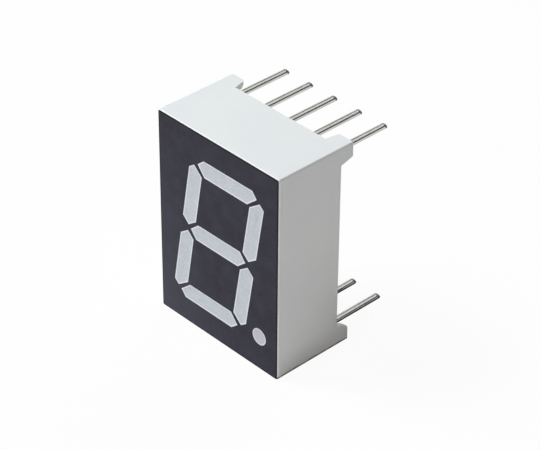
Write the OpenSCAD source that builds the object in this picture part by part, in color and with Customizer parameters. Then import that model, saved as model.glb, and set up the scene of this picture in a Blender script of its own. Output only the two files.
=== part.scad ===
// Seven segment display, one digit with a decimal point, for a circuit board.
//
// A white moulded reflector holds eight tapered light cavities, filled with
// milky resin. A small board with one light chip for each cavity closes them
// from behind, ten round leads go through that board, and resin seals the back.
//
// X runs to the right across the face, Y from the face to the back, Z up the
// digit. The origin is the middle of the ten leads, in the plane of the board
// that the four feet seat on. Millimetres.

/* [Body] */
// Width of the body
body_w = 12.6; // [12.5:0.1:15]
// Height of the body, along the digit
body_h = 17.5; // [17.5:0.1:21]
// Depth of the body, from its face to its back rim
body_d = 6.05; // [5:0.05:8]
// Thickness of the walls round the recess in the back
wall = 0.65; // [0.5:0.01:0.65]
// Radius of the body's four long edges
side_edge_r = 0.15; // [0.12:0.01:0.4]
// Radius of the edge round the face
face_edge_r = 0.07; // [0.02:0.01:0.1]
// Radius of the corners of the recess in the back
recess_r = 0.5; // [0.45:0.05:0.6]
// Depth of that recess, from the back rim to the seat of the circuit board
recess_depth = 2.2; // [1.8:0.1:2.6]
// Thickness of the dark ink on the face
ink_t = 0.06; // [0.03:0.01:0.1]

/* [Feet] */
// Height of the four corner feet behind the back rim
foot_h = 1.15; // [0.6:0.05:2]
// Radius of a foot at its root, round the corner of the body
foot_root_r = 1.65; // [1.3:0.05:2.2]
// Radius of a foot at its tip, round the corner of the body
foot_tip_r = 1.4; // [1.2:0.05:2]
// Rounding of an upper foot's tip
upper_round = 0.3; // [0.05:0.05:0.5]
// Rounding of a lower foot's tip
lower_round = 0.5; // [0.05:0.05:0.6]
// Height of an upper foot at its root, along Z
upper_root_h = 1.5; // [1.2:0.05:2]
// Height of an upper foot at its tip, along Z
upper_tip_h = 1.2; // [0.9:0.05:1.6]
// Radius of the lower corner of an upper foot, seen from the side
upper_corner_r = 0.12; // [0.05:0.01:0.5]

/* [Digit] */
// Space between the digit and the body's top or bottom side
digit_end_gap = 2.15; // [2:0.05:3]
// Space between the slanted digit and the body's left or right side
digit_side_gap = 1.3; // [1.1:0.05:1.6]
// Width of a stroke
stroke = 1.4; // [1.2:0.05:1.6]
// Lean of the digit to the right, in degrees
slant = 9.5; // [0:0.5:12]
// Gap between the top or bottom stroke and an upright one
stroke_gap = 0.38; // [0.2:0.01:0.45]
// How far the point of the top or bottom stroke lies outside its inner edge
bar_point = 0.85; // [0.5:0.05:1]
// How far the outer point of an upright stroke lies outside its inner edge
side_point = 0.92; // [0.6:0.02:1.1]
// How far an upright stroke stops short of the top or bottom stroke
side_drop = 0.12; // [0:0.01:0.2]
// Slope of the ends of the upright strokes
end_slope = 0.82; // [0.6:0.02:1]
// Gap between the middle line and the lower point of an upright stroke
waist_gap = 0.28; // [0.25:0.01:0.5]
// Gap between the middle stroke's point and the centre line of the uprights
middle_gap = 0.28; // [0.2:0.01:0.5]

/* [Decimal point] */
// Diameter of the decimal point on the face
dot_d = 1.4; // [1.3:0.05:1.6]
// Diameter of its cavity at the circuit board
dot_back_d = 1.3; // [1.25:0.05:1.3]
// Distance from the middle of the decimal point to the body's right side
dot_from_side = 1.9; // [1.7:0.01:2]
// Distance from the middle of the decimal point to the body's bottom side
dot_from_base = 2.95; // [2.75:0.05:3.25]

/* [Light cavities] */
// How far the long sides of a cavity draw in towards the circuit board
side_draw = 0.18; // [0.05:0.01:0.25]
// How far the ends of a cavity draw in towards the circuit board
end_draw = 1.1; // [0.3:0.05:1.2]

/* [Light chips] */
// Side of a square light chip
chip_w = 0.3; // [0.2:0.01:0.34]
// Thickness of a light chip
chip_t = 0.2; // [0.1:0.01:0.3]
// Thickness of the silver resin under a chip
bond_t = 0.02; // [0.01:0.005:0.05]
// Diameter of a bond wire
wire_d = 0.04; // [0.03:0.005:0.05]
// How high a bond wire arches
wire_arch = 0.3; // [0.2:0.02:0.5]
// Distance from a chip to its wire's pad in a stroke
wire_span = 0.8; // [0.6:0.02:0.9]
// Distance from a chip to its wire's pad in the decimal point
dot_span = 0.6; // [0.5:0.02:0.64]

/* [Circuit board] */
// Thickness of the circuit board
board_t = 0.8; // [0.6:0.1:1]
// Clearance round the circuit board
board_gap = 0.05; // [0.03:0.01:0.08]
// Thickness of the copper
copper_t = 0.035; // [0.02:0.005:0.07]
// Width of a track
track_w = 0.3; // [0.2:0.02:0.4]
// Side of the square pad under a chip
die_pad_w = 0.44; // [0.4:0.02:0.5]
// Side of the square pad for a bond wire
wire_pad_w = 0.26; // [0.2:0.02:0.3]
// Diameter of the copper ring round a lead
ring_d = 0.84; // [0.8:0.01:0.84]

/* [Leads] */
// Diameter of a lead before it is tinned
lead_d = 0.48; // [0.4:0.02:0.52]
// Thickness of the tin on a lead, which starts where the feet seat
tin_t = 0.01; // [0.005:0.005:0.02]
// Distance from a row of leads to the body's top or bottom side
row_inset = 1.13; // [1.13:0.01:1.3]
// Distance from the last lead of a row to the body's left or right side
end_inset = 1.22; // [1.22:0.01:1.6]
// Length of a lead behind the feet
lead_len = 4.6; // [2.5:0.1:12]
// Chamfer on the end of a lead
lead_chamfer = 0.08; // [0.02:0.01:0.15]
// How far a lead stands out of the circuit board's front
lead_proud = 0.4; // [0.3:0.05:0.5]
// Clearance round a lead in the circuit board's hole
lead_fit = 0.02; // [0.01:0.005:0.03]
// Width of the solder on the copper ring, from the lead outwards
solder_w = 0.16; // [0.1:0.01:0.17]
// Height of the solder round a lead
solder_h = 0.3; // [0.2:0.02:0.4]
// Clearance round the solder joints in the housing's two slots
joint_gap = 0.15; // [0.08:0.01:0.2]

/* [Back resin] */
// How far the resin in the back stops short of the rim
resin_drop = 0.25; // [0.1:0.05:0.5]

/* [Hidden] */
LETTERS = ["a", "b", "c", "d", "e", "f", "g", "dp"];
DOT = len(LETTERS) - 1;
STROKE_NUMBERS = [0 : DOT - 1];
LIGHTS = [0 : DOT];
LEADS = [1 : 10];

$fn = 48;
// Flat steps in the rounding of a foot
round_steps = 8;
// A cut runs this far past the face that it opens
past = 0.5;

// Planes along Y, from the face to the tips of the leads
rim_y = -foot_h;
face_y = rim_y - body_d;
front_y = face_y + ink_t;
board_front_y = rim_y - recess_depth;
board_back_y = board_front_y + board_t;
resin_y = rim_y - resin_drop;
tip_y = lead_len;

// The recess and what lies in it
recess_w = body_w - 2 * wall;
recess_h = body_h - 2 * wall;
board_w = recess_w - 2 * board_gap;
board_h = recess_h - 2 * board_gap;
board_r = recess_r - board_gap;
hole_r = lead_d / 2 + lead_fit;
// The solder's side is hollow: it passes through this share of its width and
// height
solder_hollow = 0.35;

// Rows of leads: 2.54 apart in a row and 15.24 between the rows
pitch = (body_w - 2 * end_inset) / 4;
row_gap = body_h - 2 * row_inset;

// The digit, 13.2 high, and half its sizes before it is slanted
lean = tan(slant);
digit_h = body_h - 2 * digit_end_gap;
digit_w = body_w - 2 * digit_side_gap - digit_h * lean;
half_w = digit_w / 2;
half_h = digit_h / 2;
inner_x = half_w - stroke;
inner_z = half_h - stroke;
mid_x = half_w - stroke / 2;
gap_shift = stroke_gap / sqrt(2);

// Outlines of the strokes, each given once, as corners run anticlockwise
bar_x = inner_x - gap_shift;
bar_tip_x = bar_x + bar_point;
bar_out_x = bar_tip_x - (stroke - bar_point);
bar_outline = [
    [-bar_x, inner_z],
    [bar_x, inner_z],
    [bar_tip_x, inner_z + bar_point],
    [bar_out_x, half_h],
    [-bar_out_x, half_h],
    [-bar_tip_x, inner_z + bar_point]
];
side_top_z = inner_z - side_drop;
side_tip_z = side_top_z + side_point * end_slope;
side_out_z = side_tip_z - (stroke - side_point) * end_slope;
side_low_z = waist_gap + stroke / 2 * end_slope;
side_outline = [
    [inner_x, side_low_z],
    [mid_x, waist_gap],
    [half_w, side_low_z],
    [half_w, side_out_z],
    [inner_x + side_point, side_tip_z],
    [inner_x, side_top_z]
];
middle_tip_x = mid_x - middle_gap;
middle_x = middle_tip_x - stroke / 2;
middle_outline = [
    [-middle_x, -stroke / 2],
    [middle_x, -stroke / 2],
    [middle_tip_x, 0],
    [middle_x, stroke / 2],
    [-middle_x, stroke / 2],
    [-middle_tip_x, 0]
];

// How far each edge of an outline draws in: its long sides, and its four ends
bar_draws = [side_draw, end_draw, end_draw, side_draw, end_draw, end_draw];
side_draws = [end_draw, end_draw, side_draw, end_draw, end_draw, side_draw];

// The strokes a to g: outline, how its edges draw in, and the mirror that places each
STROKES = [
    [bar_outline, bar_draws, [1, 1]],
    [side_outline, side_draws, [1, 1]],
    [side_outline, side_draws, [1, -1]],
    [bar_outline, bar_draws, [1, -1]],
    [side_outline, side_draws, [-1, -1]],
    [side_outline, side_draws, [-1, 1]],
    [middle_outline, bar_draws, [1, 1]]
];

function unit(v) = v / norm(v);
function left(v) = [-v.y, v.x];
function meet(p, u, q, v) = p + u * cross(q - p, v) / cross(u, v);
function leaned(p) = [p.x + p.y * lean, p.y];
function middle(points) =
    [for (k = [0, 1]) (min([for (p = points) p[k]]) + max([for (p = points) p[k]])) / 2];

// An outline with each edge moved in by its own draw, and kept parallel
function drawn_in(points, draws) =
    let (n = len(points))
    [for (i = [0 : n - 1])
        let (
            before = points[(i + n - 1) % n],
            here = points[i],
            after = points[(i + 1) % n],
            u = unit(here - before),
            v = unit(after - here)
        )
        meet(here + left(u) * draws[(i + n - 1) % n], u, here + left(v) * draws[i], v)
    ];

// Where each stroke's middle lies on the face
dot_place = [body_w / 2 - dot_from_side, dot_from_base - body_h / 2];
function stroke_place(i) =
    let (m = middle(STROKES[i][0]), s = STROKES[i][2])
    leaned([m.x * s.x, m.y * s.y]);
function place(i) = i == DOT ? dot_place : stroke_place(i);

// From a chip to its bond wire's pad
up_way = unit([lean, 1]);
right_way = [1, 0];
WAYS = [right_way, up_way, -up_way, -right_way, -up_way, up_way, -right_way, right_way];
function span(i) = i == DOT ? dot_span : wire_span;
function chip_place(i) = place(i) - WAYS[i] * span(i) / 2;
function pad_place(i) = place(i) + WAYS[i] * span(i) / 2;
function chip_under(letter) = chip_place(search([letter], LETTERS)[0]);

// Leads 1 to 5 run left to right below, and 6 to 10 right to left above
function lead_place(n) =
    n < 6 ? [(n - 3) * pitch, -row_gap / 2] : [(8 - n) * pitch, row_gap / 2];

// The lead that each stroke's bond wire is led to: a to g, then the point.
// The middle lead of each row is common to all the chips
OWN_LEADS = [7, 6, 4, 2, 1, 9, 10, 5];
COMMON_LEADS = [3, 8];

// Draws a flat shape as a plate between two planes along Y
module plate(from_y, to_y) {
    translate([0, to_y, 0])
        rotate([90, 0, 0])
            linear_extrude(to_y - from_y)
                children();
}

// A cylinder or cone along Y, at a place on the face
module round_along_y(at, from_y, to_y, r1, r2) {
    translate([at.x, from_y, at.y])
        rotate([-90, 0, 0])
            cylinder(h = to_y - from_y, r1 = r1, r2 = r2);
}

module rounded_rect(w, h, r) {
    square([w - 2 * r, h], center = true);
    square([w, h - 2 * r], center = true);
    for (x = [-1, 1], z = [-1, 1])
        translate([x * (w / 2 - r), z * (h / 2 - r)])
            circle(r);
}

module body_outline() {
    rounded_rect(body_w, body_h, side_edge_r);
}

module recess_outline() {
    rounded_rect(recess_w, recess_h, recess_r);
}

// The body's edge, cut square to it: r out from the edge's own middle, with
// the small radius that leads on to the face
module edge_profile(r) {
    square([r, rim_y - front_y - face_edge_r]);
    square([r - face_edge_r, rim_y - front_y]);
    translate([r - face_edge_r, rim_y - front_y - face_edge_r])
        circle(face_edge_r);
}

module corner_column() {
    rotate([90, 0, 0])
        rotate_extrude()
            edge_profile(side_edge_r);
}

// A straight side of the body, running along Z
module side_slab(length) {
    translate([0, 0, -length / 2])
        linear_extrude(length)
            mirror([0, 1, 0])
                edge_profile(side_edge_r);
}

module body_block() {
    core_w = body_w - 2 * side_edge_r;
    core_h = body_h - 2 * side_edge_r;
    translate([0, rim_y, 0]) {
        for (x = [-1, 1], z = [-1, 1])
            translate([x * core_w / 2, 0, z * core_h / 2])
                corner_column();
        for (x = [0, 1])
            mirror([x, 0, 0])
                translate([core_w / 2, 0, 0])
                    side_slab(core_h);
        for (z = [0, 1])
            mirror([0, 0, z])
                translate([0, 0, core_h / 2])
                    rotate([0, -90, 0])
                        side_slab(core_w);
    }
    plate(front_y, rim_y)
        square([core_w, core_h], center = true);
}

// Side view of a foot: root wide at its base and tip wide at its top, with
// one rounded corner between its sloping side and its top
module foot_profile(root, tip, r) {
    slope = atan((root - tip) / foot_h);
    c = [tip + r * tan(slope) - r / cos(slope), foot_h - r];
    polygon(concat(
        [[0, -past], [root, -past], [root, 0]],
        [for (k = [0 : round_steps])
            let (a = slope + (90 - slope) * k / round_steps)
            c + r * [cos(a), sin(a)]],
        [[0, foot_h]]
    ));
}

// A tapered round boss, with the body's upper right edge as its axis
module foot_boss(round_r) {
    translate([body_w / 2, rim_y, body_h / 2])
        rotate([-90, 0, 0])
            rotate(-45)
                rotate_extrude()
                    foot_profile(foot_root_r, foot_tip_r, round_r);
}

// What an upper foot is cut to: flat below, and sloping out to its root
module upper_foot_cut() {
    translate([-body_w / 2, rim_y, body_h / 2])
        mirror([0, 0, 1])
            rotate([90, 0, 90])
                linear_extrude(body_w)
                    mirror([1, -1, 0])
                        foot_profile(upper_root_h, upper_tip_h, upper_corner_r);
}

// Each foot is the quarter of a boss that lies inside the body's outline
module feet() {
    intersection() {
        union()
            for (side = [0, 1])
                mirror([side, 0, 0]) {
                    intersection() {
                        foot_boss(upper_round);
                        upper_foot_cut();
                    }
                    mirror([0, 0, 1])
                        foot_boss(lower_round);
                }
        plate(rim_y - past, past)
            body_outline();
    }
}

// The space of one stroke: its outline on the face, drawn in at the board
module stroke_space(i) {
    s = STROKES[i][2];
    face = STROKES[i][0];
    back = drawn_in(face, STROKES[i][1]);
    n = len(face);
    ring = [for (k = [0 : n - 1]) k];
    ahead = s.x * s.y > 0 ? ring : [for (k = ring) n - 1 - k];
    function at(p, y) = let (q = leaned([p.x * s.x, p.y * s.y])) [q.x, y, q.y];
    polyhedron(
        points = concat(
            [for (k = ahead) at(face[k], face_y)],
            [for (k = ahead) at(back[k], board_front_y)]
        ),
        faces = concat(
            [[for (k = ring) n - 1 - k]],
            [[for (k = ring) n + k]],
            [for (k = ring) [k, (k + 1) % n, n + (k + 1) % n, n + k]]
        )
    );
}

module light_space(i) {
    if (i == DOT)
        round_along_y(dot_place, face_y, board_front_y, dot_d / 2, dot_back_d / 2);
    else
        stroke_space(i);
}

module chip(i) {
    at = chip_place(i);
    translate([at.x, board_front_y - bond_t - chip_t / 2, at.y])
        cube([chip_w, chip_t, chip_w], center = true);
}

module bond(i) {
    at = chip_place(i);
    translate([at.x, board_front_y - bond_t / 2, at.y])
        cube([chip_w, bond_t, chip_w], center = true);
}

// A bond wire rises from its chip, arches over and comes down on its pad. It
// is a row of rings of points, and the angle a says how far along a ring lies
wire_sides = 8;
wire_rings = 9;
function wire_point(i, a) =
    let (
        run = (1 - cos(a)) / 2,
        at = chip_place(i) + WAYS[i] * span(i) * run,
        rise = (bond_t + chip_t) * (1 - run) + wire_arch * sin(a)
    )
    [at.x, board_front_y - rise, at.y];
function wire_way(i, a) =
    let (
        run = sin(a) / 2,
        along = WAYS[i] * span(i) * run,
        rise = -(bond_t + chip_t) * run + wire_arch * cos(a)
    )
    unit([along.x, -rise, along.y]);

// The wire, and with more, a straight length of that added to each of its ends
module wire(i, more) {
    across = [-WAYS[i].y, 0, WAYS[i].x];
    arch = [for (k = [0 : wire_rings - 1]) [180 * k / (wire_rings - 1), 0]];
    rings = more > 0 ? concat([[0, more]], arch, [[180, more]]) : arch;
    points = [for (ring = rings)
        let (
            a = ring[0],
            centre = wire_point(i, a) + [0, ring[1], 0],
            up = cross(wire_way(i, a), across)
        )
        for (j = [0 : wire_sides - 1])
            let (b = 360 * j / wire_sides)
            centre + wire_d / 2 * (cos(b) * across + sin(b) * up)
    ];
    steps = [0 : len(rings) - 2];
    last = (len(rings) - 1) * wire_sides;
    around = [for (j = [0 : wire_sides - 1]) j];
    polyhedron(
        points = points,
        faces = concat(
            [[for (j = around) j]],
            [[for (j = around) last + wire_sides - 1 - j]],
            [for (k = steps, j = around)
                let (p = k * wire_sides + j, q = k * wire_sides + (j + 1) % wire_sides)
                [p, p + wire_sides, q]],
            [for (k = steps, j = around)
                let (p = k * wire_sides + j, q = k * wire_sides + (j + 1) % wire_sides)
                [q, p + wire_sides, q + wire_sides]]
        )
    );
}

// One copper line through a list of points, with round corners and ends
module track(points) {
    for (p = points)
        translate(p)
            circle(d = track_w);
    for (k = [1 : len(points) - 1]) {
        from = points[k - 1];
        way = points[k] - from;
        translate(from)
            rotate(atan2(way.y, way.x))
                translate([0, -track_w / 2])
                    square([norm(way), track_w]);
    }
}

// The lines from the bond pads to their own leads. The middle stroke's line
// runs out to the left of the digit before it turns up
module own_tracks() {
    edge_track_x = -2 * pitch;
    for (i = LIGHTS) {
        from = pad_place(i);
        to = lead_place(OWN_LEADS[i]);
        track(LETTERS[i] == "g" ? [from, [edge_track_x, from.y], to] : [from, to]);
        translate(from)
            square(wire_pad_w, center = true);
    }
}

// The common line joins every chip's pad and the middle lead of each row. Its
// branch to the decimal point bends round the wire pad of stroke c
module common_track() {
    ends = [for (n = COMMON_LEADS) lead_place(n)];
    c = chip_under("c");
    dp = chip_under("dp");
    bend_gap = pitch / 4;
    bend = [(c.x + dp.x) / 2 + bend_gap, c.y - bend_gap];
    track([ends[0], chip_under("d"), chip_under("g"), chip_under("a"), ends[1]]);
    track([chip_under("f"), chip_under("b")]);
    track([chip_under("e"), c, bend, dp]);
    for (i = LIGHTS)
        translate(chip_place(i))
            square(die_pad_w, center = true);
}

module copper() {
    difference() {
        plate(board_front_y, board_front_y + copper_t) {
            own_tracks();
            common_track();
            for (n = LEADS)
                translate(lead_place(n))
                    circle(d = ring_d);
        }
        lead_holes();
    }
}

module lead_holes() {
    for (n = LEADS)
        round_along_y(lead_place(n), board_front_y - past, board_back_y + past, hole_r, hole_r);
}

module lead_shape(n) {
    at = lead_place(n);
    tinned_r = lead_d / 2 + tin_t;
    round_along_y(at, 0, tip_y - lead_chamfer, tinned_r, tinned_r);
    round_along_y(at, tip_y - lead_chamfer, tip_y, tinned_r, tinned_r - lead_chamfer);
    round_along_y(at, board_front_y - lead_proud, 0, lead_d / 2, lead_d / 2);
}

// Solder wets the copper ring and climbs the lead to a point
module solder_shape(n) {
    at = lead_place(n);
    translate([at.x, board_front_y, at.y])
        rotate([90, 0, 0])
            rotate_extrude()
                translate([lead_d / 2, 0])
                    polygon([
                        [0, 0],
                        [solder_w, 0],
                        [solder_w * solder_hollow, solder_h * solder_hollow],
                        [0, solder_h]
                    ]);
}

// Two slots in the housing clear the solder joints of the two rows of leads
module joint_slots() {
    joint_r = lead_d / 2 + solder_w + joint_gap;
    slot_w = 4 * pitch + 2 * joint_r;
    plate(board_front_y - lead_proud - joint_gap, board_front_y + past)
        intersection() {
            recess_outline();
            for (z = [-1, 1])
                translate([0, z * row_gap / 2])
                    square([slot_w, 2 * joint_r], center = true);
        }
}

module reflector_housing() {
    color([0.93, 0.94, 0.95])
        difference() {
            union() {
                body_block();
                feet();
            }
            plate(board_front_y, past)
                recess_outline();
            joint_slots();
            for (i = LIGHTS)
                light_space(i);
        }
}

module face_ink() {
    color([0.25, 0.24, 0.28])
        difference() {
            plate(face_y, front_y)
                rounded_rect(
                    body_w - 2 * face_edge_r,
                    body_h - 2 * face_edge_r,
                    side_edge_r - face_edge_r
                );
            for (i = LIGHTS)
                light_space(i);
        }
}

// The resin of one light, cast round its chip and wire
module light_bar(i) {
    at = chip_place(i);
    stack_t = chip_t + bond_t;
    color([0.82, 0.83, 0.85])
        difference() {
            light_space(i);
            translate([at.x, board_front_y, at.y])
                cube([chip_w, 2 * stack_t, chip_w], center = true);
            wire(i, bond_t);
        }
}

module led_chip(i) {
    color([0.85, 0.55, 0.45])
        chip(i);
}

module die_bond(i) {
    color([0.7, 0.7, 0.68])
        bond(i);
}

module bond_wire(i) {
    color([0.9, 0.9, 0.9])
        wire(i, 0);
}

module circuit_board() {
    color([0.85, 0.82, 0.6])
        difference() {
            plate(board_front_y, board_back_y)
                rounded_rect(board_w, board_h, board_r);
            copper();
            lead_holes();
        }
}

module circuit_tracks() {
    color([0.8, 0.5, 0.3])
        copper();
}

module lead(n) {
    color([0.72, 0.72, 0.7])
        lead_shape(n);
}

module solder(n) {
    color([0.65, 0.66, 0.68])
        solder_shape(n);
}

module back_resin() {
    color([0.88, 0.88, 0.84])
        difference() {
            plate(board_back_y, resin_y)
                recess_outline();
            for (n = LEADS)
                lead_shape(n);
        }
}

reflector_housing();
face_ink();
for (i = STROKE_NUMBERS)
    light_bar(i);
light_bar(DOT);  // decimal_point
circuit_board();
circuit_tracks();
back_resin();
for (i = LIGHTS)
    led_chip(i);
for (i = LIGHTS)
    die_bond(i);
for (i = LIGHTS)
    bond_wire(i);
for (n = LEADS)
    lead(n);
for (n = LEADS)
    solder(n);
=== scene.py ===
"""The finished look of a seven segment display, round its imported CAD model.

The display lies in the frame of the model: X to the right across its face, Y
from the face to the back, Z up the digit. Lengths are metres."""

import math

import bmesh
import bpy
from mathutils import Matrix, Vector, noise


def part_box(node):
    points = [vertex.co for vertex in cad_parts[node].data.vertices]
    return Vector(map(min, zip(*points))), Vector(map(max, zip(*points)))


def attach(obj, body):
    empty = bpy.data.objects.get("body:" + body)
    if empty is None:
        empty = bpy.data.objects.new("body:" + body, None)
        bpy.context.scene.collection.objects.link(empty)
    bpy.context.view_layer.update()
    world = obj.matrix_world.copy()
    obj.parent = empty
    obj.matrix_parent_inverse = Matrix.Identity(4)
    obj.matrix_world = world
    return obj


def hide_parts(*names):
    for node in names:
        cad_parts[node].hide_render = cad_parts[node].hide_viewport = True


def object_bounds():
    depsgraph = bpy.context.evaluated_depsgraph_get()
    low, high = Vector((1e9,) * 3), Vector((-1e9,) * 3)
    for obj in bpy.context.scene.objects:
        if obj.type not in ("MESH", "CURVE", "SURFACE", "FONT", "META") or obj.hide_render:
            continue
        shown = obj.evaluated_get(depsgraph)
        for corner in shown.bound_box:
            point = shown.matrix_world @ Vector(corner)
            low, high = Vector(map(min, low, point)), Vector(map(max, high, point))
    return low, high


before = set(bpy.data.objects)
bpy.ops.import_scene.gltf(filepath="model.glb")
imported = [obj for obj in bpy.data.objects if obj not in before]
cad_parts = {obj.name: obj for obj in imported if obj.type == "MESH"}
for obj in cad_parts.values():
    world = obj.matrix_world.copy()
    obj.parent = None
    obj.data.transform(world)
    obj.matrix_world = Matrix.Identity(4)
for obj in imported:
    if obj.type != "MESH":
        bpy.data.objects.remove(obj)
cad_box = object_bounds()
MM = 0.001


# ---------------------------------------------------------------------------
# Housing. One white box moulded in glass filled plastic, opaque so that no
# light leaks between the strokes. Its spark eroded mould leaves a fine grain.
# The edge round the face has a painted highlight of pure white. The lower edge
# has a painted grey shade line, and painted shade fades up the lower sides.
# ---------------------------------------------------------------------------

NOISE_SPAN = (0.3, 0.7)


def start_finish(name, roughness, metallic=0.0, specular=0.5):
    """A new material with its shader set, and its node tree."""
    finish = bpy.data.materials.new(name)
    finish.use_nodes = True
    tree = finish.node_tree
    shader = tree.nodes["Principled BSDF"]
    shader.inputs["Roughness"].default_value = roughness
    shader.inputs["Metallic"].default_value = metallic
    shader.inputs["Specular IOR Level"].default_value = specular
    return finish, tree, shader


def add_place(tree):
    """The place of a point in the frame of the model."""
    return tree.nodes.new("ShaderNodeTexCoord").outputs["Object"]


def add_grain(tree, size, detail=2.0, stretch=(1, 1, 1), seed=0.0):
    """Soft noise with blobs of about that size, stretched along the axes given."""
    scaled = tree.nodes.new("ShaderNodeMapping")
    scaled.inputs["Scale"].default_value = [1 / (size * s) for s in stretch]
    scaled.inputs["Location"].default_value = (seed, seed, seed)
    cloud = tree.nodes.new("ShaderNodeTexNoise")
    cloud.inputs["Scale"].default_value = 1.0
    cloud.inputs["Detail"].default_value = detail
    tree.links.new(add_place(tree), scaled.inputs["Vector"])
    tree.links.new(scaled.outputs["Vector"], cloud.inputs["Vector"])
    return cloud.outputs["Fac"]


def add_colours(tree, amount, first, last, over=NOISE_SPAN):
    """A colour that runs from first to last as the amount runs over its span."""
    ramp = tree.nodes.new("ShaderNodeValToRGB")
    for stop, position, colour in zip(ramp.color_ramp.elements, over, (first, last)):
        stop.position = position
        stop.color = (*colour, 1)
    tree.links.new(amount, ramp.inputs["Fac"])
    return ramp.outputs["Color"]


def add_range(tree, amount, first, last, over=NOISE_SPAN):
    """A number that runs from first to last as the amount runs over its span."""
    to_range = tree.nodes.new("ShaderNodeMapRange")
    to_range.inputs["From Min"].default_value = over[0]
    to_range.inputs["From Max"].default_value = over[1]
    to_range.inputs["To Min"].default_value = first
    to_range.inputs["To Max"].default_value = last
    tree.links.new(amount, to_range.inputs["Value"])
    return to_range.outputs["Result"]


def add_maths(tree, operation, first, second, clamp=False):
    """The sum, product or larger one of two numbers."""
    worked = tree.nodes.new("ShaderNodeMath")
    worked.operation = operation
    worked.use_clamp = clamp
    tree.links.new(first, worked.inputs[0])
    tree.links.new(second, worked.inputs[1])
    return worked.outputs[0]


def add_mix(tree, share, first, last):
    """A colour that turns from first to last with the share. Either one is a
    colour or the socket of one."""
    mix = tree.nodes.new("ShaderNodeMix")
    mix.data_type = "RGBA"
    tree.links.new(share, mix.inputs["Factor"])
    for socket, colour in ((mix.inputs["A"], first), (mix.inputs["B"], last)):
        if isinstance(colour, bpy.types.NodeSocket):
            tree.links.new(colour, socket)
        else:
            socket.default_value = (*colour, 1)
    return mix.outputs["Result"]


def add_axes(tree, vector):
    """The three numbers of a vector, by the names X, Y and Z."""
    apart = tree.nodes.new("ShaderNodeSeparateXYZ")
    tree.links.new(vector, apart.inputs["Vector"])
    return apart.outputs


def add_bump(tree, shader, height, depth):
    """Bumps of that depth; a second call lays finer ones over the first."""
    bump = tree.nodes.new("ShaderNodeBump")
    bump.inputs["Strength"].default_value = 1.0
    bump.inputs["Distance"].default_value = depth
    tree.links.new(height, bump.inputs["Height"])
    socket = shader.inputs["Normal"]
    if socket.is_linked:
        tree.links.new(socket.links[0].from_socket, bump.inputs["Normal"])
    tree.links.new(bump.outputs["Normal"], socket)


def srgb(red, green, blue):
    """Linear colour of a swatch given in the 0 to 255 steps of a paint card."""
    return [
        (c / 255 / 12.92) if c < 11 else ((c / 255 + 0.055) / 1.055) ** 2.4
        for c in (red, green, blue)
    ]


def dress(node, finish):
    """Gives a CAD node its finish."""
    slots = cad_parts[node].data.materials
    slots.clear()
    slots.append(finish)


CLOUD_SIZE = 5 * MM
MOULD_GRAIN = 0.07 * MM
MOULD_GRAIN_DEPTH = 0.0025 * MM
# Painted highlight: a band of pure white along the front edge of the housing
PAINTED_HIGHLIGHT_BAND = 0.08 * MM
PAINTED_HIGHLIGHT_FADE = 0.03 * MM
# Painted shade: a grey line along the lower edge, made uneven by noise, and the lower sides
# darker towards the bottom
SHADE_LINE_HEIGHT = 0.21 * MM
SHADE_LINE_FADE = 0.04 * MM
SHADE_LINE_WOBBLE_SIZE = 0.5 * MM
SHADE_LINE_WOBBLE_REACH = 0.04 * MM
PAINTED_SHADE_RISE = 2 * MM
SHADED_SHARE = 0.87
WHITE_TONES = (srgb(231, 233, 233), srgb(235, 237, 236))
PAINTED_SHADE_GREY = srgb(98, 98, 101)
PAINTED_HIGHLIGHT_WHITE = srgb(255, 255, 255)
PLASTIC_ROUGH = (0.46, 0.6)

white_plastic, tree, shader = start_finish("moulded_white_plastic", roughness=0.5, specular=0.35)
plain_white = add_colours(tree, add_grain(tree, CLOUD_SIZE), *WHITE_TONES)
height = add_axes(tree, add_place(tree))
# Painted highlight: the band next to the face turns pure white
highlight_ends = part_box("reflector_housing")[0].y + PAINTED_HIGHLIGHT_BAND
highlight_here = add_range(tree, height["Y"], 1.0, 0.0, over=(highlight_ends, highlight_ends + PAINTED_HIGHLIGHT_FADE))
# Painted shade: grey along the lower edge, and darker towards the bottom of the sides
shade_line_ends = cad_box[0][2] + SHADE_LINE_HEIGHT
shade_line_wobble = add_grain(tree, SHADE_LINE_WOBBLE_SIZE, detail=4, seed=5.0)
wobbled_height = add_maths(tree, "ADD", height["Z"], add_range(tree, shade_line_wobble, -SHADE_LINE_WOBBLE_REACH, SHADE_LINE_WOBBLE_REACH))
above_shade_line = add_range(tree, wobbled_height, 0.0, 1.0, over=(shade_line_ends, shade_line_ends + SHADE_LINE_FADE))
unshaded = add_range(tree, height["Z"], SHADED_SHARE, 1.0, over=(shade_line_ends, shade_line_ends + PAINTED_SHADE_RISE))
highlighted_white = add_mix(tree, highlight_here, plain_white, PAINTED_HIGHLIGHT_WHITE)
outside_painted_shade = add_maths(tree, "MULTIPLY", above_shade_line, unshaded)
painted_light_white = add_mix(tree, outside_painted_shade, PAINTED_SHADE_GREY, highlighted_white)
tree.links.new(painted_light_white, shader.inputs["Base Color"])
grain = add_grain(tree, MOULD_GRAIN, detail=3)
tree.links.new(add_range(tree, grain, *PLASTIC_ROUGH), shader.inputs["Roughness"])
add_bump(tree, shader, grain, MOULD_GRAIN_DEPTH)
dress("reflector_housing", white_plastic)


# ---------------------------------------------------------------------------
# Face ink. A dark blue grey ink, printed on the front of the housing round
# the strokes, so that unlit strokes still read. It dries with a faint mottle,
# specks of dust and a dark bead round its edge. Towards a lower corner it is
# painted lighter, as light from the table.
# ---------------------------------------------------------------------------

MOTTLE_SIZE = 1.1 * MM
PEEL_SIZE = 0.16 * MM
PEEL_DEPTH = 0.003 * MM
DUST_SIZE = 0.55 * MM
DUST_SPAN = (0.78, 0.84)
DUST_SHARE = 0.35
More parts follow.
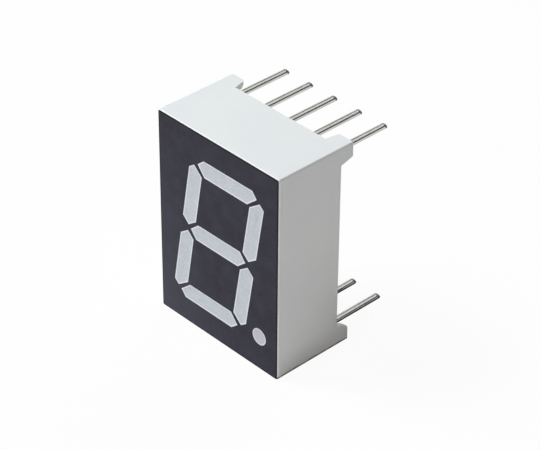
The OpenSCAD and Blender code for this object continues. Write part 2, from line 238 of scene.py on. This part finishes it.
# Painted light: the ink turns lighter towards the lower left corner, standing in for light from
# the table
TABLE_LIGHT_CORNER = (-0.9, 0, -0.45)
TABLE_LIGHT_SPAN = (1.5 * MM, 9 * MM)
TABLE_LIGHT_SHARE = 0.9
INK_BEAD = 0.13 * MM
BEAD_FADE = 0.04 * MM
INK_TONES = (srgb(53, 51, 60), srgb(61, 60, 72))
INK_TONE_SPAN = (0.32, 0.7)
DUST_BLUE = srgb(110, 116, 150)
PAINTED_TABLE_LIGHT_INK = srgb(76, 75, 87)
THICK_INK = srgb(20, 19, 24)
INK_ROUGH = (0.45, 0.68)

ink, tree, shader = start_finish("printed_dark_ink", roughness=0.55, specular=0.1)
mottle = add_grain(tree, MOTTLE_SIZE, detail=5)
plain_ink = add_colours(tree, mottle, *INK_TONES, over=INK_TONE_SPAN)
dust = add_grain(tree, DUST_SIZE, detail=1, seed=7.0)
dust_here = add_range(tree, dust, 0.0, DUST_SHARE, over=DUST_SPAN)
dusty_ink = add_mix(tree, dust_here, plain_ink, DUST_BLUE)

place = add_place(tree)
towards_corner = tree.nodes.new("ShaderNodeVectorMath")
towards_corner.operation = "DOT_PRODUCT"
towards_corner.inputs[1].default_value = TABLE_LIGHT_CORNER
tree.links.new(place, towards_corner.inputs[0])
# Painted light: lighter ink towards the lower left corner, as light from the table
table_light_here = add_range(tree, towards_corner.outputs["Value"], 0.0, TABLE_LIGHT_SHARE, over=TABLE_LIGHT_SPAN)
table_lit_ink = add_mix(tree, table_light_here, dusty_ink, PAINTED_TABLE_LIGHT_INK)

from_middle = tree.nodes.new("ShaderNodeVectorMath")
from_middle.operation = "ABSOLUTE"
tree.links.new(place, from_middle.inputs[0])
out = add_axes(tree, from_middle.outputs["Vector"])
beads = []
for way, edge in (("X", cad_box[1][0]), ("Z", cad_box[1][2])):
    bead_starts = edge - INK_BEAD
    beads.append(add_range(tree, out[way], 0.0, 1.0, over=(bead_starts - BEAD_FADE, bead_starts)))
bead_here = add_maths(tree, "MAXIMUM", beads[0], beads[1])
beaded_ink = add_mix(tree, bead_here, table_lit_ink, THICK_INK)
tree.links.new(beaded_ink, shader.inputs["Base Color"])

peel = add_grain(tree, PEEL_SIZE, detail=3)
tree.links.new(add_range(tree, peel, *INK_ROUGH), shader.inputs["Roughness"])
add_bump(tree, shader, peel, PEEL_DEPTH)
dress("face_ink", ink)


# ---------------------------------------------------------------------------
# Strokes and decimal point. Milky epoxy with a fine glass powder in it, cast
# from behind against a film laid over the face. It shrinks as it sets, which
# dishes each one. Its rim is painted lighter, as light from the wall, and the
# shallow point is the same resin painted darker, as shade.
# ---------------------------------------------------------------------------

POWDER_SIZE = 0.09 * MM
POWDER_DEPTH = 0.004 * MM
STREAK_SIZE = 0.9 * MM
# Painted light: the rim of each light is painted lighter, standing in for light from the wall
RIM_LIGHT_FULL = 0.005 * MM
RIM_LIGHT_ENDS = 0.015 * MM
STREAK_TONES = (srgb(246, 248, 246), srgb(255, 255, 255))
MILKY_ROUGH = (0.38, 0.6)
# Width and fall of each ring of the dish, from the rim inwards, in millimetres
DISH_RINGS = [(0.03, 0.004), (0.05, 0.006), (0.08, 0.007), (0.12, 0.006), (0.16, 0.003)]
WELD = 1e-7
FLAT_WITHIN = math.radians(1)
CAST_CREASE = math.radians(20)
front_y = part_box("segment_a")[0].y


def milky_finish(name, dark, light, rim_light):
    """The finish of cast resin with a pale powder in it, between two tones, and
    with a painted lighter rim round its dished front, as light from the wall."""
    resin, tree, shader = start_finish(name, roughness=0.45, specular=0.4)
    powder = add_grain(tree, POWDER_SIZE, detail=3)
    streaks = add_grain(tree, STREAK_SIZE, detail=3, seed=3.0)
    clouded = tree.nodes.new("ShaderNodeMix")
    clouded.data_type = "RGBA"
    clouded.blend_type = "MULTIPLY"
    clouded.inputs["Factor"].default_value = 1.0
    tree.links.new(add_colours(tree, powder, dark, light), clouded.inputs["A"])
    tree.links.new(add_colours(tree, streaks, *STREAK_TONES), clouded.inputs["B"])
    depth = add_axes(tree, add_place(tree))["Y"]
    # Painted light: a lighter rim at the front, as light from the wall
    rim_light_here = add_range(tree, depth, 1.0, 0.0, over=(front_y + RIM_LIGHT_FULL, front_y + RIM_LIGHT_ENDS))
    rim_lit = add_mix(tree, rim_light_here, clouded.outputs["Result"], rim_light)
    tree.links.new(rim_lit, shader.inputs["Base Color"])
    tree.links.new(add_range(tree, powder, *MILKY_ROUGH), shader.inputs["Roughness"])
    add_bump(tree, shader, powder, POWDER_DEPTH)
    return resin


stroke_resin = milky_finish(
    "milky_stroke_resin",
    dark=srgb(206, 209, 217),
    light=srgb(228, 231, 238),
    rim_light=srgb(250, 252, 255),
)
# Painted shade: the point is the same resin as the strokes, in darker tones
shaded_point_resin = milky_finish(
    "milky_point_resin_painted_shade",
    dark=srgb(200, 198, 205),
    light=srgb(223, 219, 226),
    rim_light=srgb(240, 242, 244),
)


def cast_light(node, finish):
    """A copy of the CAD solid of one light, with its flat front dished."""
    mesh = bmesh.new()
    mesh.from_mesh(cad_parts[node].data)
    bmesh.ops.remove_doubles(mesh, verts=mesh.verts, dist=WELD)
    bmesh.ops.dissolve_limit(mesh, angle_limit=FLAT_WITHIN, verts=mesh.verts, edges=mesh.edges)
    foremost = min(v.co.y for v in mesh.verts)
    front = [f for f in mesh.faces if all(abs(v.co.y - foremost) < WELD for v in f.verts)]
    dish = [max(front, key=lambda f: f.calc_area())]
    for width, fall in DISH_RINGS:
        bmesh.ops.inset_region(
            mesh, faces=dish, thickness=width * MM, depth=-fall * MM, use_even_offset=True
        )
    bmesh.ops.triangulate(mesh, faces=[f for f in mesh.faces if len(f.verts) > 4])
    data = bpy.data.meshes.new("cast_" + node)
    mesh.to_mesh(data)
    mesh.free()
    data.materials.append(finish)
    data.shade_smooth()
    data.set_sharp_from_angle(angle=CAST_CREASE)
    light = bpy.data.objects.new("cast_" + node, data)
    bpy.context.scene.collection.objects.link(light)
    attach(light, "root")
    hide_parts(node)


for letter in "abcdefg":
    cast_light("segment_" + letter, stroke_resin)
cast_light("decimal_point", shaded_point_resin)


# ---------------------------------------------------------------------------
# Light chips, the silver resin under them and their bond wires. Each chip is
# a sawn block of crystal with a metal contact on top, and its wire is drawn
# aluminium, welded to the chip and to a copper pad.
# ---------------------------------------------------------------------------

SAW_MARK = 0.02 * MM
SAW_DEPTH = 0.001 * MM
FLAKE_SIZE = 0.01 * MM
FLAKE_DEPTH = 0.002 * MM
DIE_LINE = 0.008 * MM


def grained_finish(
    name, roughness, rough_span, tones, over=NOISE_SPAN, metallic=1.0, bumps=0.0, **grain
):
    """A finish whose colour, roughness and bumps all follow one grain. The
    plain roughness stands in where no grain can be shown."""
    finish, tree, shader = start_finish(name, roughness, metallic)
    pattern = add_grain(tree, **grain)
    tree.links.new(add_colours(tree, pattern, *tones, over=over), shader.inputs["Base Color"])
    tree.links.new(add_range(tree, pattern, *rough_span), shader.inputs["Roughness"])
    if bumps:
        add_bump(tree, shader, pattern, bumps)
    return finish


crystal = grained_finish(
    "sawn_crystal",
    roughness=0.3,
    rough_span=(0.2, 0.45),
    tones=(srgb(120, 70, 58), srgb(170, 112, 90)),
    metallic=0.0,
    bumps=SAW_DEPTH,
    size=SAW_MARK,
    detail=3,
    stretch=(4, 1, 1),
)
silver_resin = grained_finish(
    "silver_filled_resin",
    roughness=0.4,
    rough_span=(0.3, 0.6),
    tones=(srgb(150, 150, 146), srgb(212, 212, 208)),
    over=(0.35, 0.65),
    metallic=0.8,
    bumps=FLAKE_DEPTH,
    size=FLAKE_SIZE,
)
drawn_aluminium = grained_finish(
    "drawn_aluminium",
    roughness=0.25,
    rough_span=(0.18, 0.35),
    tones=(srgb(205, 206, 208), srgb(236, 237, 238)),
    size=DIE_LINE,
    stretch=(1, 1, 6),
)

for letter in [*"abcdefg", "dp"]:
    dress("led_chip_" + letter, crystal)
    dress("die_bond_" + letter, silver_resin)
    dress("bond_wire_" + letter, drawn_aluminium)


# ---------------------------------------------------------------------------
# Circuit board and its tracks. A stamped board of woven glass laminate, with
# etched copper on the side that faces the light cavities. It closes the
# cavities from behind and holds the leads.
# ---------------------------------------------------------------------------

WEAVE_SIZE = 1.4 * MM
WEAVE_DEPTH = 0.006 * MM
WEAVE_WOBBLE = 0.4
WEAVE_TONES = (srgb(190, 176, 128), srgb(212, 200, 156))
TARNISH_SIZE = 0.6 * MM

laminate, tree, shader = start_finish("woven_glass_laminate", roughness=0.4)
place = add_place(tree)
weave = []
for direction in ("X", "Z"):
    threads = tree.nodes.new("ShaderNodeTexWave")
    threads.bands_direction = direction
    threads.inputs["Scale"].default_value = 1 / WEAVE_SIZE
    threads.inputs["Distortion"].default_value = WEAVE_WOBBLE
    tree.links.new(place, threads.inputs["Vector"])
    weave.append(threads.outputs["Fac"])
crossed = add_maths(tree, "MULTIPLY", weave[0], weave[1])
woven = add_colours(tree, crossed, *WEAVE_TONES, over=(0.0, 1.0))
tree.links.new(woven, shader.inputs["Base Color"])
add_bump(tree, shader, crossed, WEAVE_DEPTH)
dress("circuit_board", laminate)

etched_copper = grained_finish(
    "etched_copper",
    roughness=0.3,
    rough_span=(0.22, 0.42),
    tones=(srgb(176, 104, 70), srgb(222, 150, 112)),
    size=TARNISH_SIZE,
    detail=4,
)
dress("circuit_tracks", etched_copper)


# ---------------------------------------------------------------------------
# Leads. Ten pieces of steel wire, tinned where they stand out of the back.
# They are pushed through the board and soldered on its front. Their ends are
# sheared off, which leaves a slanted, rounded tip of bare dark steel.
# ---------------------------------------------------------------------------

LEAD_COUNT = 10
WIRE_R = 0.24 * MM
TIN_R = 0.25 * MM
WIRE_SIDES = 40
ROOT_R = 0.8 * WIRE_R
ROOT_CHAMFER = 0.03 * MM
# Radius and place of each ring where the tin starts, at the seat of the feet
TIN_STARTS = [(WIRE_R, -0.06 * MM), (0.985 * TIN_R, -0.02 * MM), (TIN_R, 0.03 * MM)]
TIP_LENGTH = 0.5 * MM
SHEAR_SLOPE = 0.56
# Share of the radius of each ring of the tip and its distance from the end
TIP_ROLL = [
    (1.0, 0.24 * MM), (0.96, 0.15 * MM), (0.88, 0.075 * MM), (0.74, 0.02 * MM), (0.6, 0.0)
]
TIP_CREASE = math.radians(50)
DRAW_LINE = 0.03 * MM
DRAW_LINE_DEPTH = 0.0006 * MM
DULL_SPOT = 0.35 * MM
DULL_SPOT_DEPTH = 0.001 * MM
TIN_TONES = (srgb(177, 177, 173), srgb(213, 213, 209))
TIN_ROUGH = (0.12, 0.2)
TEAR_SIZE = 0.05 * MM
TEAR_DEPTH = 0.002 * MM

tinned_steel, tree, shader = start_finish("tinned_steel_wire", roughness=0.14, metallic=1.0)
draw_lines = add_grain(tree, DRAW_LINE, detail=3, stretch=(1, 30, 1))
dull_spots = add_grain(tree, DULL_SPOT, detail=4)
tree.links.new(add_colours(tree, draw_lines, *TIN_TONES), shader.inputs["Base Color"])
tree.links.new(add_range(tree, dull_spots, *TIN_ROUGH), shader.inputs["Roughness"])
add_bump(tree, shader, draw_lines, DRAW_LINE_DEPTH)
add_bump(tree, shader, dull_spots, DULL_SPOT_DEPTH)

sheared_steel = grained_finish(
    "sheared_steel_end",
    roughness=0.35,
    rough_span=(0.3, 0.42),
    tones=(srgb(84, 82, 79), srgb(112, 110, 106)),
    bumps=TEAR_DEPTH,
    size=TEAR_SIZE,
    detail=3,
)


def lathe_rings(mesh, rings, centre):
    """Joins rings of points round a line along Y, and closes both ends. The
    faces of the tip take the second material."""
    end_r = TIN_R * TIP_ROLL[-1][0]
    loops = []
    for radius, y, slope in rings:
        loop = []
        for k in range(WIRE_SIDES):
            a = 2 * math.pi * k / WIRE_SIDES
            x, z = radius * math.cos(a), radius * math.sin(a)
            slant = slope * (z + end_r)
            loop.append(mesh.verts.new((centre.x + x, y - slant, centre.z + z)))
        loops.append(loop)
    tip_starts = len(loops) - len(TIP_ROLL)
    for ring in range(len(loops) - 1):
        near, far = loops[ring], loops[ring + 1]
        for k in range(WIRE_SIDES):
            j = (k + 1) % WIRE_SIDES
            side = mesh.faces.new((near[k], far[k], far[j], near[j]))
            side.material_index = int(ring >= tip_starts)
    mesh.faces.new(loops[0])
    mesh.faces.new(reversed(loops[-1])).material_index = 1


def sheared_lead(number):
    """One lead, from its end in front of the board to its slanted tip."""
    low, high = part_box(f"lead_{number}")
    rings = [(ROOT_R, low.y, 0), (WIRE_R, low.y + ROOT_CHAMFER, 0)]
    rings += [(radius, y, 0) for radius, y in TIN_STARTS]
    rings += [(TIN_R, high.y - TIP_LENGTH, 0)]
    rings += [(TIN_R * share, high.y - back, SHEAR_SLOPE) for share, back in TIP_ROLL]
    mesh = bmesh.new()
    lathe_rings(mesh, rings, (low + high) / 2)
    bmesh.ops.recalc_face_normals(mesh, faces=mesh.faces)
    data = bpy.data.meshes.new(f"tinned_lead_{number}")
    mesh.to_mesh(data)
    mesh.free()
    data.materials.append(tinned_steel)
    data.materials.append(sheared_steel)
    data.shade_smooth()
    data.set_sharp_from_angle(angle=TIP_CREASE)
    lead = bpy.data.objects.new(f"tinned_lead_{number}", data)
    bpy.context.scene.collection.objects.link(lead)
    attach(lead, "root")
    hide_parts(f"lead_{number}")


for number in range(1, LEAD_COUNT + 1):
    sheared_lead(number)


# ---------------------------------------------------------------------------
# Solder. A ring of bright solder wets the copper round each lead and climbs
# it in a hollow cone, in the slot that the housing leaves for it.
# ---------------------------------------------------------------------------

RIPPLE_SIZE = 0.12 * MM
RIPPLE_DEPTH = 0.004 * MM

bright_solder = grained_finish(
    "bright_solder",
    roughness=0.2,
    rough_span=(0.12, 0.32),
    tones=(srgb(176, 178, 182), srgb(214, 216, 220)),
    bumps=RIPPLE_DEPTH,
    size=RIPPLE_SIZE,
    detail=3,
)
for number in range(1, LEAD_COUNT + 1):
    dress(f"solder_{number}", bright_solder)


# ---------------------------------------------------------------------------
# Back resin. Off white epoxy, poured over the board to seal the back. Before
# it set it crept up the walls and the leads, and it cured glossy and level
# elsewhere, with a few shallow sinks.
# ---------------------------------------------------------------------------

CREEP_AT_WALL = 0.12 * MM
CREEP_AT_LEAD = 0.15 * MM
CREEP_REACH = 0.16 * MM
SETTLED = 0.02 * MM
SINK_SIZE = 2.4 * MM
SINK_DEPTH = 0.012 * MM
FINE_STEP = 0.06 * MM
COARSE_STEP = 0.3 * MM
FINE_REACH = 0.62 * MM
POOL_MARGIN = 0.2 * MM
OUTLINE_RAISE = 0.3 * MM
POUR_CREASE = math.radians(40)
TINT_SIZE = 2.2 * MM
TINT_DEPTH = 0.01 * MM
FILM_SIZE = 0.5 * MM
FILM_DEPTH = 0.0015 * MM
RESIN_TONES = (srgb(219, 217, 207), srgb(229, 227, 218))
RESIN_ROUGH = (0.12, 0.26)

cast_resin, tree, shader = start_finish("cast_back_resin", roughness=0.18)
tint = add_grain(tree, TINT_SIZE, detail=4)
tree.links.new(add_colours(tree, tint, *RESIN_TONES), shader.inputs["Base Color"])
film = add_grain(tree, FILM_SIZE, detail=3)
tree.links.new(add_range(tree, film, *RESIN_ROUGH), shader.inputs["Roughness"])
add_bump(tree, shader, tint, TINT_DEPTH)
add_bump(tree, shader, film, FILM_DEPTH)


def grid_lines(low, high, places):
    """Lines from below low to beyond high, close together near both and near
    the places given."""
    fine_at = [*places, low, high]
    last = high + POOL_MARGIN
    lines = [low - POOL_MARGIN]
    while lines[-1] < last:
        here = lines[-1]
        near = min(abs(here - p) for p in fine_at) < FINE_REACH
        lines.append(min(here + (FINE_STEP if near else COARSE_STEP), last))
    return lines


def resin_pool(low, high):
    """A block whose top is a field of heights, wider than the recess."""
    ends = [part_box(f"lead_{n}") for n in range(1, LEAD_COUNT + 1)]
    leads = [((a.x + b.x) / 2, (a.z + b.z) / 2) for a, b in ends]
    xs = grid_lines(low.x, high.x, [x for x, z in leads])
    zs = grid_lines(low.z, high.z, [z for x, z in leads])

    def level(x, z):
        to_wall = max(0, min(x - low.x, high.x - x, z - low.z, high.z - z))
        to_lead = max(0, min(math.hypot(x - a, z - b) for a, b in leads) - WIRE_R)
        sink = noise.noise(Vector((x, 0, z)) / SINK_SIZE) * SINK_DEPTH
        creep = CREEP_AT_WALL * math.exp(-to_wall / CREEP_REACH)
        creep += CREEP_AT_LEAD * math.exp(-to_lead / CREEP_REACH)
        return high.y + sink + creep - SETTLED

    mesh = bmesh.new()
    top = [[mesh.verts.new((x, level(x, z), z)) for z in zs] for x in xs]
    floor_y = low.y - POOL_MARGIN
    base = [[mesh.verts.new((x, floor_y, z)) for z in (zs[0], zs[-1])] for x in (xs[0], xs[-1])]
    for i in range(len(xs) - 1):
        for j in range(len(zs) - 1):
            mesh.faces.new((top[i][j], top[i + 1][j], top[i + 1][j + 1], top[i][j + 1]))
    mesh.faces.new((base[0][0], base[0][1], base[1][1], base[1][0]))
    mesh.faces.new([base[0][0], base[0][1]] + [top[0][j] for j in reversed(range(len(zs)))])
    mesh.faces.new([base[1][1], base[1][0]] + [top[-1][j] for j in range(len(zs))])
    mesh.faces.new([base[0][0]] + [top[i][0] for i in range(len(xs))] + [base[1][0]])
    mesh.faces.new([base[1][1]] + [top[i][-1] for i in reversed(range(len(xs)))] + [base[0][1]])
    bmesh.ops.recalc_face_normals(mesh, faces=mesh.faces)
    pool = bpy.data.meshes.new("resin_pool")
    mesh.to_mesh(pool)
    mesh.free()
    return pool


def resin_outline(high):
    """The CAD solid of the resin, with its top raised clear of the creep."""
    mesh = bmesh.new()
    mesh.from_mesh(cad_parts["back_resin"].data)
    bmesh.ops.remove_doubles(mesh, verts=mesh.verts, dist=WELD)
    for v in mesh.verts:
        if abs(v.co.y - high.y) < WELD:
            v.co.y += OUTLINE_RAISE
    outline = bpy.data.meshes.new("resin_outline")
    mesh.to_mesh(outline)
    mesh.free()
    return outline


def poured_resin():
    """The pool of resin, cut to its outline in the recess."""
    low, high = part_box("back_resin")
    resin = bpy.data.objects.new("poured_back_resin", resin_pool(low, high))
    cutter = bpy.data.objects.new("resin_outline", resin_outline(high))
    bpy.context.scene.collection.objects.link(resin)
    bpy.context.scene.collection.objects.link(cutter)
    cut = resin.modifiers.new("cut", "BOOLEAN")
    cut.operation = "INTERSECT"
    cut.solver = "EXACT"
    cut.object = cutter
    bpy.context.view_layer.update()
    shaped = bpy.data.meshes.new_from_object(
        resin.evaluated_get(bpy.context.evaluated_depsgraph_get())
    )
    resin.modifiers.clear()
    resin.data = shaped
    bpy.data.objects.remove(cutter)
    shaped.materials.clear()
    shaped.materials.append(cast_resin)
    shaped.shade_smooth()
    shaped.set_sharp_from_angle(angle=POUR_CREASE)
    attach(resin, "root")
    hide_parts("back_resin")


poured_resin()


# ---------------------------------------------------------------------------
# Table and room. The display stands on its lower side on a plain white table.
# Seen by the eye or in metal, the table and the room are pure white. As light
# on the display they are no more than a pale table and a dim room.
# ---------------------------------------------------------------------------

TABLE_SIZE = 1.2
TABLE_WHITE = (0.9, 0.9, 0.9)
SHADOW_SHOWN = 0.06
PURE_WHITE = (1, 1, 1)
ROOM_TINT = (1.0, 0.98, 0.92)
ROOM_LIGHT = 0.06


def add_seen(tree):
    """One where the eye or a bright surface looks, nought where light falls."""
    rays = tree.nodes.new("ShaderNodeLightPath").outputs
    direct = add_maths(tree, "ADD", rays["Is Camera Ray"], rays["Is Glossy Ray"], clamp=True)
    return add_maths(tree, "ADD", direct, rays["Is Transmission Ray"], clamp=True)


def add_shader(tree, kind, colour, strength=None):
    """The output of a plain shader of one colour."""
    shader = tree.nodes.new(kind)
    shader.inputs["Color"].default_value = (*colour, 1)
    if strength is not None:
        shader.inputs["Strength"].default_value = strength
    return shader.outputs[0]


def add_two_faced(tree, share, lit, seen, output):
    """Blends how a surface is lit and how it is seen, and ends the tree."""
    blend = tree.nodes.new("ShaderNodeMixShader")
    tree.links.new(share, blend.inputs["Fac"])
    tree.links.new(lit, blend.inputs[1])
    tree.links.new(seen, blend.inputs[2])
    tree.links.new(blend.outputs[0], tree.nodes.new(output).inputs["Surface"])


bottom = cad_box[0][2]
half = TABLE_SIZE / 2
table_data = bpy.data.meshes.new("table")
table_data.from_pydata(
    [(-half, -half, bottom), (half, -half, bottom), (half, half, bottom), (-half, half, bottom)],
    [],
    [(0, 1, 2, 3)],
)
table = bpy.data.objects.new("table", table_data)
bpy.context.scene.collection.objects.link(table)

table_top = bpy.data.materials.new("white_table")
table_top.use_nodes = True
tree = table_top.node_tree
tree.nodes.clear()
shown = tree.nodes.new("ShaderNodeMath")
shown.operation = "MULTIPLY"
shown.inputs[1].default_value = 1 - SHADOW_SHOWN
tree.links.new(add_seen(tree), shown.inputs[0])
add_two_faced(
    tree,
    shown.outputs[0],
    add_shader(tree, "ShaderNodeBsdfDiffuse", TABLE_WHITE),
    add_shader(tree, "ShaderNodeEmission", PURE_WHITE, strength=1.0),
    "ShaderNodeOutputMaterial",
)
table_data.materials.append(table_top)

room = bpy.data.worlds.new("room")
bpy.context.scene.world = room
room.use_nodes = True
tree = room.node_tree
tree.nodes.clear()
add_two_faced(
    tree,
    add_seen(tree),
    add_shader(tree, "ShaderNodeBackground", ROOM_TINT, strength=ROOM_LIGHT),
    add_shader(tree, "ShaderNodeBackground", PURE_WHITE, strength=1.0),
    "ShaderNodeOutputWorld",
)


# ---------------------------------------------------------------------------
# Lamps and flags. Three soft lamps light the display from above, from the
# right and from behind. Three flags of dark felt are seen in the bright metal
# of the leads and nowhere else, where they draw dark lines along them.
# ---------------------------------------------------------------------------

FELT_GREY = (0.14, 0.14, 0.144)
ABOVE_TABLE = 0.04 * MM


def soft_lamp(name, at, size, power, colour):
    """A square soft lamp at a place, turned to face the display."""
    light = bpy.data.lights.new(name, "AREA")
    light.shape = "SQUARE"
    light.size = size
    light.energy = power
    light.color = colour
    lamp = bpy.data.objects.new(name, light)
    bpy.context.scene.collection.objects.link(lamp)
    lamp.location = at
    lamp.rotation_euler = (-Vector(at)).to_track_quat("-Z", "Y").to_euler()


COOL_WHITE = (0.918, 0.963, 1.0)
WARM_WHITE = (1.0, 0.905, 0.84)
soft_lamp("upper_lamp", at=(-0.2, -0.15, 0.35), size=0.15, power=1.64, colour=COOL_WHITE)
soft_lamp("right_lamp", at=(0.3, -0.2, 0.2), size=0.15, power=0.24, colour=WARM_WHITE)
soft_lamp("back_lamp", at=(-0.12, 0.32, 0.26), size=0.2, power=0.42, colour=PURE_WHITE)

dark_felt = bpy.data.materials.new("dark_felt")
dark_felt.use_nodes = True
shader = dark_felt.node_tree.nodes["Principled BSDF"]
shader.inputs["Base Color"].default_value = (*FELT_GREY, 1)
shader.inputs["Roughness"].default_value = 1.0


def dark_flag(name, at, size, facing):
    """A flag of dark felt that turns its face a given way."""
    data = bpy.data.meshes.new(name)
    x, y = size[0] / 2, size[1] / 2
    data.from_pydata([(-x, -y, 0), (x, -y, 0), (x, y, 0), (-x, y, 0)], [], [(0, 1, 2, 3)])
    data.materials.append(dark_felt)
    flag = bpy.data.objects.new(name, data)
    bpy.context.scene.collection.objects.link(flag)
    flag.location = at
    flag.rotation_euler = Vector(facing).to_track_quat("Z", "Y").to_euler()
    flag.visible_camera = False
    flag.visible_diffuse = False
    flag.visible_shadow = False


dark_flag("right_flag", at=(0.3, 0.23, 0.12), size=(0.3, 0.24), facing=(-0.3, -0.23, -0.12))
dark_flag("left_flag", at=(-0.17, 0.23, 0.285), size=(0.2, 0.14), facing=(0.17, -0.23, -0.285))
dark_flag(
    "low_flag", at=(0.002, 0.0043, bottom + ABOVE_TABLE), size=(0.021, 0.0085), facing=(0, 0, 1)
)


# ---------------------------------------------------------------------------
# Camera. A long lens from the front, the right and above, about seventeen
# centimetres from the display.
# ---------------------------------------------------------------------------

EYE_AT = (0.0982066, -0.0953789, 0.0947332)
EYE_TURN = (54.8567, -0.3406, 46.6884)
LENS_LENGTH = 150.19
FILM_WIDTH = 36
NEAREST_SEEN = 0.005

eye = bpy.data.cameras.new("eye")
eye.lens = LENS_LENGTH
eye.sensor_width = FILM_WIDTH
eye.clip_start = NEAREST_SEEN
eye_holder = bpy.data.objects.new("eye", eye)
bpy.context.scene.collection.objects.link(eye_holder)
eye_holder.location = EYE_AT
eye_holder.rotation_euler = [math.radians(angle) for angle in EYE_TURN]
bpy.context.scene.camera = eye_holder
bpy.context.scene.view_settings.view_transform = "Standard"
